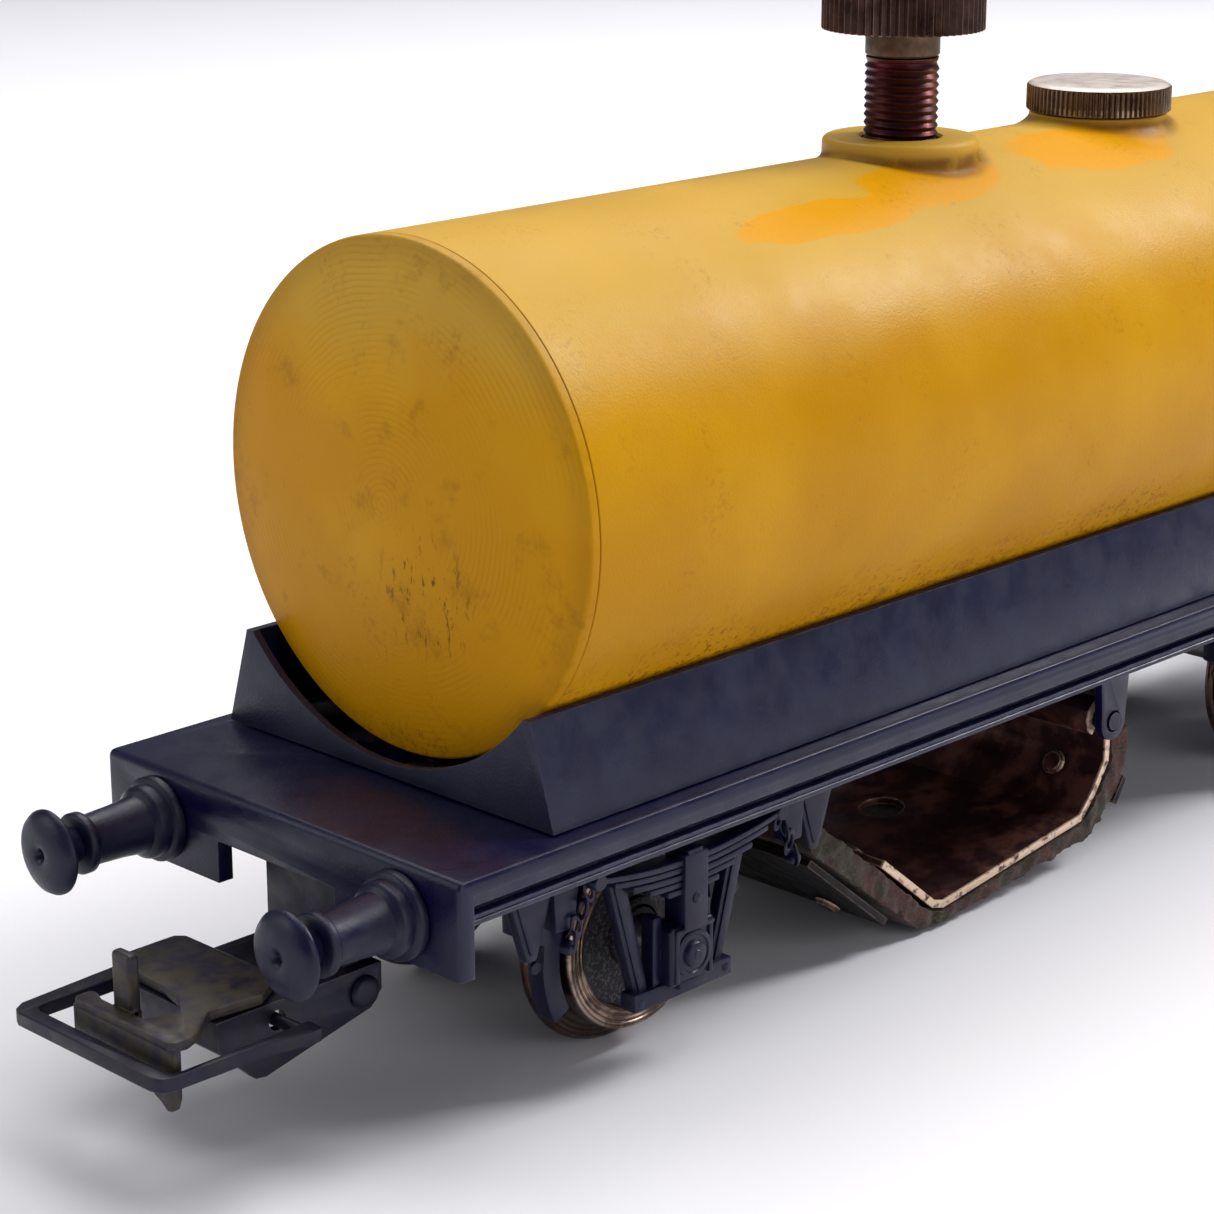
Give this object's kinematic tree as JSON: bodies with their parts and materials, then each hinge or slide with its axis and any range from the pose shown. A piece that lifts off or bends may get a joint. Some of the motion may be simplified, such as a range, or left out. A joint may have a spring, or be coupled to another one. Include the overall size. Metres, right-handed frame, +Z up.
{
  "type": "model tank wagon",
  "caption": "Two-axle model railway tank wagon with a domed cylindrical tank, a screw drip valve, a screw filler cap, hooked loop couplers and a hinged felt rail cleaning pad.",
  "frame": {"origin": "middle of the wagon, on the plane that the wheel flanges stand on", "axes": "+X along the wagon to its front end, away from the filler cap; +Y across it to its left side; +Z up"},
  "size_m": [0.13, 0.0296, 0.0593],
  "materials": {
    "yellow_paint": "satin ochre-yellow spray paint with a fine grain",
    "frame_black": "satin blue-black paint, worn pale on the edges",
    "moulded_black": "matt black moulding",
    "dark_brass": "dark bronze-brown tarnished brass",
    "bare_brass": "tarnished brass sheet with a red-brown stain",
    "nickel": "turned wheel with bright rings",
    "steel": "plain turned steel",
    "burnished_steel": "dark burnished sheet with an olive-brown bloom",
    "insulator": "black insulating bush",
    "felt": "grey-green felt soaked red-brown",
    "fibre": "red fibre washer"
  },
  "bodies": {
    "wagon": {"underframe": "frame_black", "tank_cradle": "frame_black", "pad_bracket": "frame_black", "tank_barrel": "yellow_paint", "tank_end_front": "yellow_paint", "tank_end_rear": "yellow_paint", "drip_nozzle": "bare_brass", "tank_screw_front": "steel", "tank_screw_rear": "steel", "pad_hinge_rod": "steel", "buffer_front_left": "moulded_black", "axleguard_front_left": "moulded_black", "bearing_cup_front_left": "bare_brass", "buffer_front_right": "moulded_black", "axleguard_front_right": "moulded_black", "bearing_cup_front_right": "bare_brass", "coupler_screw_front": "steel", "buffer_rear_left": "moulded_black", "axleguard_rear_left": "moulded_black", "bearing_cup_rear_left": "bare_brass", "buffer_rear_right": "moulded_black", "axleguard_rear_right": "moulded_black", "bearing_cup_rear_right": "bare_brass", "coupler_screw_rear": "steel"},
    "wheelset_front": {"axle_front": "steel", "wheel_front_left": "nickel", "wheel_front_right": "nickel", "insulating_bush_front": "insulator"},
    "coupler_front": {"coupler_arm_front": "burnished_steel", "coupler_head_front": "burnished_steel", "coupler_rivet_front": "burnished_steel"},
    "loop_front": {"coupler_loop_front": "burnished_steel"},
    "wheelset_rear": {"axle_rear": "steel", "wheel_rear_left": "nickel", "wheel_rear_right": "nickel", "insulating_bush_rear": "insulator"},
    "coupler_rear": {"coupler_arm_rear": "burnished_steel", "coupler_head_rear": "burnished_steel", "coupler_rivet_rear": "burnished_steel"},
    "loop_rear": {"coupler_loop_rear": "burnished_steel"},
    "valve_rise": {"valve_collar": "dark_brass"},
    "valve": {"valve_spindle": "dark_brass", "valve_knob": "dark_brass"},
    "cap_rise": {"filler_gasket": "fibre"},
    "cap": {"filler_cap": "dark_brass"},
    "pad": {"pad_holder": "bare_brass", "felt_pad": "felt", "pad_clip_front": "dark_brass", "pad_clip_rear": "dark_brass", "pad_rivet_front_left": "bare_brass", "pad_rivet_front_right": "bare_brass", "pad_rivet_rear_left": "bare_brass", "pad_rivet_rear_right": "bare_brass"}
  },
  "joints": [
    {"name": "wheelset_front_spin", "type": "hinge", "parent": "wagon", "child": "wheelset_front", "pos_m": [0.0338, 0, 0.00705], "axis": [0, 1, 0], "continuous": true},
    {"name": "coupler_front_swing", "type": "hinge", "parent": "wagon", "child": "coupler_front", "pos_m": [0.0414, 0, 0.0157], "axis": [0, 0, 1], "range_deg": [-12, 12]},
    {"name": "loop_front_lift", "type": "hinge", "parent": "coupler_front", "child": "loop_front", "pos_m": [0.0554, 0, 0.0068], "axis": [0, -1, 0], "range_deg": [0, 27]},
    {"name": "wheelset_rear_spin", "type": "hinge", "parent": "wagon", "child": "wheelset_rear", "pos_m": [-0.0338, 0, 0.00705], "axis": [0, 1, 0], "continuous": true},
    {"name": "coupler_rear_swing", "type": "hinge", "parent": "wagon", "child": "coupler_rear", "pos_m": [-0.0414, 0, 0.0157], "axis": [0, 0, 1], "range_deg": [-12, 12]},
    {"name": "loop_rear_lift", "type": "hinge", "parent": "coupler_rear", "child": "loop_rear", "pos_m": [-0.0554, 0, 0.0068], "axis": [0, 1, 0], "range_deg": [0, 27]},
    {"name": "valve_lift", "type": "slide", "parent": "wagon", "child": "valve_rise", "axis": [0, 0, 1], "range_m": [0, 0.001]},
    {"name": "valve_turn", "type": "hinge", "parent": "valve_rise", "child": "valve", "pos_m": [0, 0, 0.0476], "axis": [0, 0, 1], "range_deg": [0, 720.1]},
    {"name": "cap_lift", "type": "slide", "parent": "wagon", "child": "cap_rise", "axis": [0, 0, 1], "range_m": [0, 0.0015]},
    {"name": "cap_turn", "type": "hinge", "parent": "cap_rise", "child": "cap", "pos_m": [-0.021, 0, 0.0471], "axis": [0, 0, 1], "range_deg": [0, 720.1]},
    {"name": "pad_hinge", "type": "hinge", "parent": "wagon", "child": "pad", "pos_m": [-0.00798, 0, 0.01], "axis": [0, -1, 0], "range_deg": [-1.5, 10]}
  ],
  "couplings": [
    {"joint": "valve_turn", "follows": "valve_lift", "rad_per_m": 12566},
    {"joint": "cap_turn", "follows": "cap_lift", "rad_per_m": 8377.6}
  ]
}
